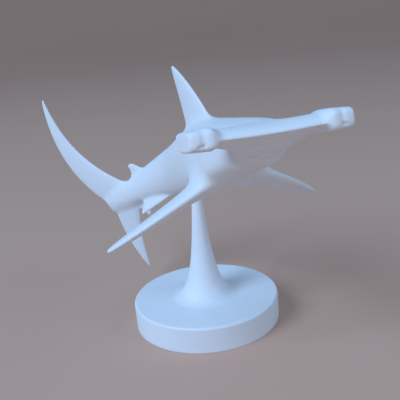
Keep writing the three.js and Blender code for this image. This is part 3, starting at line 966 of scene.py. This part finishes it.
def pressed(thing, lines, width, depth, name, material):
    """Presses lines into an object's surface, by a tree that measures how near they are."""
    points, edges = [], []
    for line in lines:
        first = len(points)
        points.extend(line * MM)
        edges.extend((first + i, first + i + 1) for i in range(len(line) - 1))
    mesh = bpy.data.meshes.new(name)
    mesh.from_pydata([tuple(p) for p in points], edges, [])
    path = bpy.data.objects.new(name, mesh)
    recipe = Recipe(name)
    recipe.input("Geometry", "Geometry")
    recipe.input("Lines", "Object", path)
    recipe.input("Width", "Float", width, "DISTANCE")
    recipe.input("Depth", "Float", depth, "DISTANCE")
    recipe.input("Material", "Material", material)
    given = recipe.inputs()
    inputs = {"Object": given["Lines"]}
    lines_there = recipe.value("GeometryNodeObjectInfo", inputs=inputs, output=4)
    here = recipe.value("GeometryNodeInputPosition")
    inputs = {"Target": lines_there, "Source Position": here}
    distance = recipe.value("GeometryNodeProximity", {"target_element": "EDGES"}, inputs, output=1)
    near = distance / given["Width"]
    sink = given["Depth"] * recipe.exponent(-(near * near) * 2)
    normal = recipe.value("GeometryNodeInputNormal")
    inputs = {"Vector": normal, "Scale": -sink}
    offset = recipe.value("ShaderNodeVectorMath", {"operation": "SCALE"}, inputs)
    inputs = {"Geometry": given["Geometry"], "Offset": offset}
    moved = recipe.value("GeometryNodeSetPosition", inputs=inputs)
    recipe.finish(moved, given["Material"])
    recipe.put_on(thing)
    return path


def new_material(name):
    """A new material with its tree, its shader and the place on the piece."""
    material = bpy.data.materials.new(name)
    material.use_nodes = True
    tree = Tree(material.node_tree)
    place = tree.value("ShaderNodeTexCoord", output=3)
    return material, tree, tree.tree.nodes["Principled BSDF"], place


def plastic(name, sizes):
    """Matte printed plastic, with the faint layers of the print and a slight cloudiness."""
    material, tree, shader, place = new_material(name)
    normal = tree.value("ShaderNodeNewGeometry", output=1)
    height = tree.parts(place)[2]
    flatness = tree.math("ABSOLUTE", tree.parts(normal)[2])
    cloud = tree.noise(place, scale=45.0, detail=3.0)
    wobble = tree.noise(place, scale=90.0, detail=2.0)
    ragged = tree.noise(place, scale=300.0, detail=3.0)
    grain = tree.noise(place, scale=2600.0, detail=2.0)
    layer = tree.math("FRACT", (height + wobble * LAYER_WANDER) / sizes.layer)
    ridge = 1 - tree.math("ABSOLUTE", layer * 2 - 1)
    shown = LAYER_ON_WALL + (1 - LAYER_ON_WALL) * flatness**4
    terrace = tree.math("FRACT", (height + ragged * TERRACE_WANDER) / sizes.terrace)
    patch = tree.math("MINIMUM", tree.math("MAXIMUM", cloud * PATCH_SLOPE - PATCH_START, 0.0), 1.0)
    step = terrace**6 * flatness**6 * patch
    relief = ridge * shown * sizes.relief + step * sizes.terrace_relief + grain * GRAIN_RELIEF
    # The cloudiness is the plastic's own uneven tone; towards each layer's edge the colour is
    # darkened as painted shade in the groove between layers.
    cloud_and_groove_shade = CLOUD_TINT * cloud + LAYER_GROOVE_SHADE * (1 - ridge)
    tree.feed(shader.inputs["Base Color"], tree.mix(cloud_and_groove_shade, (*sizes.plastic, 1), (*sizes.hollow, 1)))
    tree.feed(shader.inputs["Roughness"], ROUGHNESS + CLOUD_ROUGHNESS * cloud)
    bump = tree.value("ShaderNodeBump", inputs={"Strength": 1.0, "Distance": 1.0, "Height": relief})
    tree.feed(shader.inputs["Normal"], bump)
    shader.inputs["Specular IOR Level"].default_value = GLOSS
    return material


def floor_material(name, rgb):
    """A plain pale surface, slightly cloudy."""
    material, tree, shader, place = new_material(name)
    cloud = tree.noise(place, scale=3.0, detail=2.0)
    darker = tuple(0.94 * value for value in rgb)
    tree.feed(shader.inputs["Base Color"], tree.mix(cloud, (*rgb, 1), (*darker, 1)))
    shader.inputs["Roughness"].default_value = FLOOR_ROUGHNESS
    return material


def print_plastic(sizes):
    """The one plastic of the print, made once for all its pieces."""
    name = "matte_print_plastic"
    return bpy.data.materials.get(name) or plastic(name, sizes.finish)


class STATUETTE_OT_skin(bpy.types.Operator):
    """Make the shark's skin in one piece, with its gills, mouth, nostrils and print creases"""

    bl_idname = "statuette.skin"
    bl_label = "Make the Skin"

    def execute(self, context):
        sizes = context.scene.statuette
        points, quads = blended_surface(list(shark_forms(sizes)), sizes.body.voxel / MM)
        skin = mesh_object("shark_skin", points * MM, quads, print_plastic(sizes))
        surface = Surface(points, quads)
        body = Body(sizes.body)
        hammer = Hammer(body, sizes.hammer)
        grooves = sizes.grooves
        lines = (
            (gill_slits(body, surface), "slit", "gill_slits"),
            (mouth_line(hammer, surface), "mouth", "mouth_line"),
            (nostrils(hammer, surface), "nostril", "nostrils"),
            (creases(hammer, surface), "crease", "creases"),
        )
        paths = []
        for found, kind, name in lines:
            width, depth = (getattr(grooves, f"{kind}_{size}") for size in ("width", "depth"))
            paths.append(pressed(skin, list(found), width, depth, name, print_plastic(sizes)))
        decimate = skin.modifiers.new("fewer_faces", "DECIMATE")
        decimate.ratio = min(1, sizes.body.triangles / (2 * len(quads)))
        made_plain(skin)
        for path in paths:
            bpy.data.objects.remove(path)
        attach(skin, "root")
        fins = [f"{fin}_fin_{word}" for fin in ("pectoral", "pelvic") for word in SIDES]
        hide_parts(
            "head", "gill_section", "trunk_front", "trunk_rear", "tail_stalk",
            "dorsal_fin_first", "dorsal_fin_second", "tail_fin_upper", "tail_fin_lower", *fins,
        )
        return {"FINISHED"}


class STATUETTE_OT_eyes(bpy.types.Operator):
    """Make the two low blind domes of the eyes, on the ends of the hammer"""

    bl_idname = "statuette.eyes"
    bl_label = "Make the Eyes"

    def execute(self, context):
        sizes = context.scene.statuette
        body = Body(sizes.body)
        hammer = Hammer(body, sizes.hammer)
        place = body.place(0)
        radius, bulge = sizes.hammer.eye_radius / MM, sizes.hammer.eye_bulge / MM
        turn = round_turn(48)
        out = np.linspace(0, 1, 26)[1:-1, None]
        dome = bulge * np.sqrt(1 - out**2)
        skin = bpy.data.objects["shark_skin"]
        for word, side in SIDES.items():
            ahead = -hammer.sweep - hammer.lobe_chord * EYE_BACK
            start = place.at(ahead, side * BESIDE, hammer.lift + hammer.rise)
            _, centre, normal, _ = skin.ray_cast(Vector(start * MM), Vector(-side * place.left))
            outward = np.array(normal)
            upward = square_to(outward, place.up)
            middle = np.array(centre) / MM - outward * EYE_SUNK
            spot = Place(middle, np.cross(upward, outward), outward, upward)
            reach = radius * np.concatenate((out, out[::-1]))
            height = np.concatenate((dome, -dome[::-1])) + 0 * turn
            rings = spot.at(reach * np.cos(turn), height, -reach * np.sin(turn))
            points, quads, ends = lofted(rings)
            faces = [*quads, *ends]
            eye = mesh_object(f"eye_dome_{word}", points * MM, faces, print_plastic(sizes))
            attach(eye, "root")
            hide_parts(f"eye_{word}")
        return {"FINISHED"}


class STATUETTE_OT_marks(bpy.types.Operator):
    """Scatter the small marks that the print's supports left under the fins and the throat"""

    bl_idname = "statuette.marks"
    bl_label = "Make the Marks"

    def execute(self, context):
        sizes = context.scene.statuette
        hammer = Hammer(Body(sizes.body), sizes.hammer)
        skin = bpy.data.objects["shark_skin"]
        rows = [np.linspace(start, end, count) for start, end, count in MARKS]
        spots = [hammer.place.at(*row.T) for row in rows]
        mesh = bpy.data.meshes.new("support_marks")
        near = [skin.closest_point_on_mesh(Vector(spot * MM))[1] for spot in np.concatenate(spots)]
        mesh.from_pydata(near, [], [])
        piece = bpy.data.objects.new("support_marks", mesh)
        context.scene.collection.objects.link(piece)
        recipe = Recipe("support_marks")
        recipe.input("Geometry", "Geometry")
        recipe.input("Radius", "Float", sizes.finish.mark_radius, "DISTANCE")
        recipe.input("Seed", "Int", MARK_SEED)
        recipe.input("Material", "Material", print_plastic(sizes))
        given = recipe.inputs()
        inputs = {"Radius": given["Radius"], "Subdivisions": 2}
        ball = recipe.value("GeometryNodeMeshIcoSphere", inputs=inputs)
        inputs = {"Min": MARK_LEAST, "Max": MARK_MOST, "Seed": given["Seed"]}
        scale = recipe.value("FunctionNodeRandomValue", {"data_type": "FLOAT_VECTOR"}, inputs)
        placed = {"Points": given["Geometry"], "Instance": ball, "Scale": scale}
        balls = recipe.value("GeometryNodeInstanceOnPoints", inputs=placed)
        recipe.finish(balls, given["Material"])
        recipe.put_on(piece)
        made_plain(piece)
        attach(piece, "root")
        return {"FINISHED"}


class STATUETTE_OT_stand(bpy.types.Operator):
    """Turn the base and the column in one piece, by the rule of their outline"""

    bl_idname = "statuette.stand"
    bl_label = "Make the Stand"

    def execute(self, context):
        sizes = context.scene.statuette
        stand = sizes.stand
        recipe = Recipe("turned_stand")
        for key in StandSizes.__annotations__:
            name = key.replace("_", " ").title()
            recipe.input(name, "Float", getattr(stand, key), "DISTANCE")
        recipe.input("Sides", "Int", 160)
        recipe.input("Rings", "Int", 141)
        recipe.input("Material", "Material", print_plastic(sizes))
        given = recipe.inputs()
        points = {"Vertices X": given["Sides"] + 1, "Vertices Y": given["Rings"]}
        inputs = {"Size X": 1.0, "Size Y": 1.0, **points}
        sheet = recipe.value("GeometryNodeMeshGrid", inputs=inputs)
        across, along, _ = recipe.parts(recipe.value("GeometryNodeInputPosition"))
        turn = (across + 0.5) * TURN
        way = (along + 0.5) * 7

        # The outline runs through seven stretches: under the base, up its side, round its edge,
        # over its top, up the column in two stretches, and over the column's top.
        def stretch(start, end):
            ahead = recipe.math("MAXIMUM", way - start, 0.0)
            return recipe.math("MINIMUM", ahead, end - start) / (end - start)

        under, side, edge, top = (stretch(i, i + 1) for i in range(4))
        column, cap = stretch(4, 6), stretch(6, 7)
        quarter = edge * (math.pi / 2)
        height = given["Column Height"] * column**FOOT_CROWDING
        taper = given["Column Radius"] * recipe.exponent(-(height / given["Taper Height"]))
        flare = given["Flare"] * recipe.exponent(-(height / given["Flare Height"]))
        toe = given["Toe"] * recipe.exponent(-(height / given["Toe Height"]))
        foot = given["Column Radius"] + given["Flare"] + given["Toe"]
        sine, cosine = (recipe.math(kind, quarter) for kind in ("SINE", "COSINE"))
        rim = given["Base Radius"] - given["Edge"] * (1 - cosine)
        inwards = (given["Base Radius"] - given["Edge"] - foot) * top
        radius = (rim * under - inwards - (foot - taper - flare - toe)) * (1 - cap)
        wall = (given["Base Thickness"] - given["Edge"]) * side
        level = wall + given["Edge"] * sine + height
        x, y = (radius * recipe.math(kind, turn) for kind in ("COSINE", "SINE"))
        inputs = {"Geometry": sheet, "Position": recipe.vector(x, y, level)}
        shaped = recipe.value("GeometryNodeSetPosition", inputs=inputs)
        inputs = {"Geometry": shaped, "Distance": 1e-6}
        closed = recipe.value("GeometryNodeMergeByDistance", inputs=inputs)
        recipe.finish(closed, given["Material"])
        piece = mesh_object("turned_stand", [(0, 0, 0)], [], print_plastic(sizes))
        recipe.put_on(piece)
        made_plain(piece)
        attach(piece, "root")
        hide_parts("stand_base", "stand_column")
        return {"FINISHED"}


class STATUETTE_OT_stage(bpy.types.Operator):
    """Lay the pale floor, hang the soft lights and set the camera"""

    bl_idname = "statuette.stage"
    bl_label = "Set the Stage"

    def execute(self, context):
        sizes = context.scene.statuette.stage
        scene = context.scene
        scene.view_settings.view_transform = "Standard"
        turn = round_turn(128)
        reach, lift = np.array(FLOOR, float).T[..., None, None]
        ring = np.stack((np.cos(turn), np.sin(turn), 0 * turn), -1)
        points, quads, ends = lofted(reach * ring + lift * np.array((0, 0, 1.0)))
        faces = [*quads, *ends[:len(turn)]]
        floor = mesh_object("floor", points[:-1], faces, floor_material("pale_floor", sizes.floor))

        world = scene.world or bpy.data.worlds.new("soft_light")
        scene.world = world
        world.use_nodes = True
        background = world.node_tree.nodes["Background"]
        background.inputs["Color"].default_value = (*sizes.sky, 1)
        background.inputs["Strength"].default_value = sizes.sky_strength
        lamps = (
            ("key_light", (-1.7, -1.2, 1.5), 1.5, sizes.key_power, sizes.cool),
            ("fill_light", (0.85, -0.45, 0.6), 0.7, sizes.fill_power, sizes.cool),
            ("bounce_light", (0.15, -0.75, 0.03), 0.5, sizes.bounce_power, sizes.warm),
        )
        for name, spot, size, power, tint in lamps:
            lamp = bpy.data.lights.new(name, "AREA")
            lamp.shape = "DISK"
            lamp.size = size
            lamp.energy = power
            lamp.color = tint
            light = bpy.data.objects.new(name, lamp)
            light.location = spot
            facing = Vector(LIT_POINT) - Vector(spot)
            light.rotation_euler = facing.to_track_quat("-Z", "Y").to_euler()
            scene.collection.objects.link(light)

        camera = bpy.data.objects.new("camera", bpy.data.cameras.new("camera"))
        camera.data.lens = CAMERA_LENS
        camera.data.sensor_width = CAMERA_SENSOR
        pan, tilt, roll = (math.radians(value) for value in CAMERA_ANGLES)
        level = math.cos(tilt)
        ahead = Vector((math.sin(pan) * level, math.cos(pan) * level, -math.sin(tilt)))
        right = Vector((math.cos(pan), -math.sin(pan), 0))
        down = ahead.cross(right)
        across = math.cos(roll) * right + math.sin(roll) * down
        upward = math.sin(roll) * right - math.cos(roll) * down
        turned_to = Matrix((across, upward, -ahead)).transposed()
        camera.matrix_world = Matrix.Translation(CAMERA_PLACE) @ turned_to.to_4x4()
        scene.collection.objects.link(camera)
        scene.camera = camera
        return {"FINISHED"}


PIECES = (
    STATUETTE_OT_stage, STATUETTE_OT_skin, STATUETTE_OT_eyes, STATUETTE_OT_marks, STATUETTE_OT_stand
)


class STATUETTE_PT_panel(bpy.types.Panel):
    """Sizes, colours and pieces of the statuette"""

    bl_idname = "STATUETTE_PT_panel"
    bl_label = "Statuette"
    bl_space_type = "VIEW_3D"
    bl_region_type = "UI"
    bl_category = "Statuette"

    def draw(self, context):
        sizes = context.scene.statuette
        for key, group in PARTS.items():
            box = self.layout.box()
            box.label(text=key.replace("_", " ").capitalize())
            for name in group.__annotations__:
                box.prop(getattr(sizes, key), name)
        for piece in PIECES:
            self.layout.operator(piece.bl_idname)


CLASSES = (*PARTS.values(), Statuette, *PIECES, STATUETTE_PT_panel)


def register():
    for kind in CLASSES:
        bpy.utils.register_class(kind)
    bpy.types.Scene.statuette = bpy.props.PointerProperty(type=Statuette)


def unregister():
    del bpy.types.Scene.statuette
    for kind in reversed(CLASSES):
        bpy.utils.unregister_class(kind)


def main():
    register()
    for name in ("stage", "skin", "eyes", "marks", "stand"):
        getattr(bpy.ops.statuette, name)()


if __name__ == "__main__":
    main()
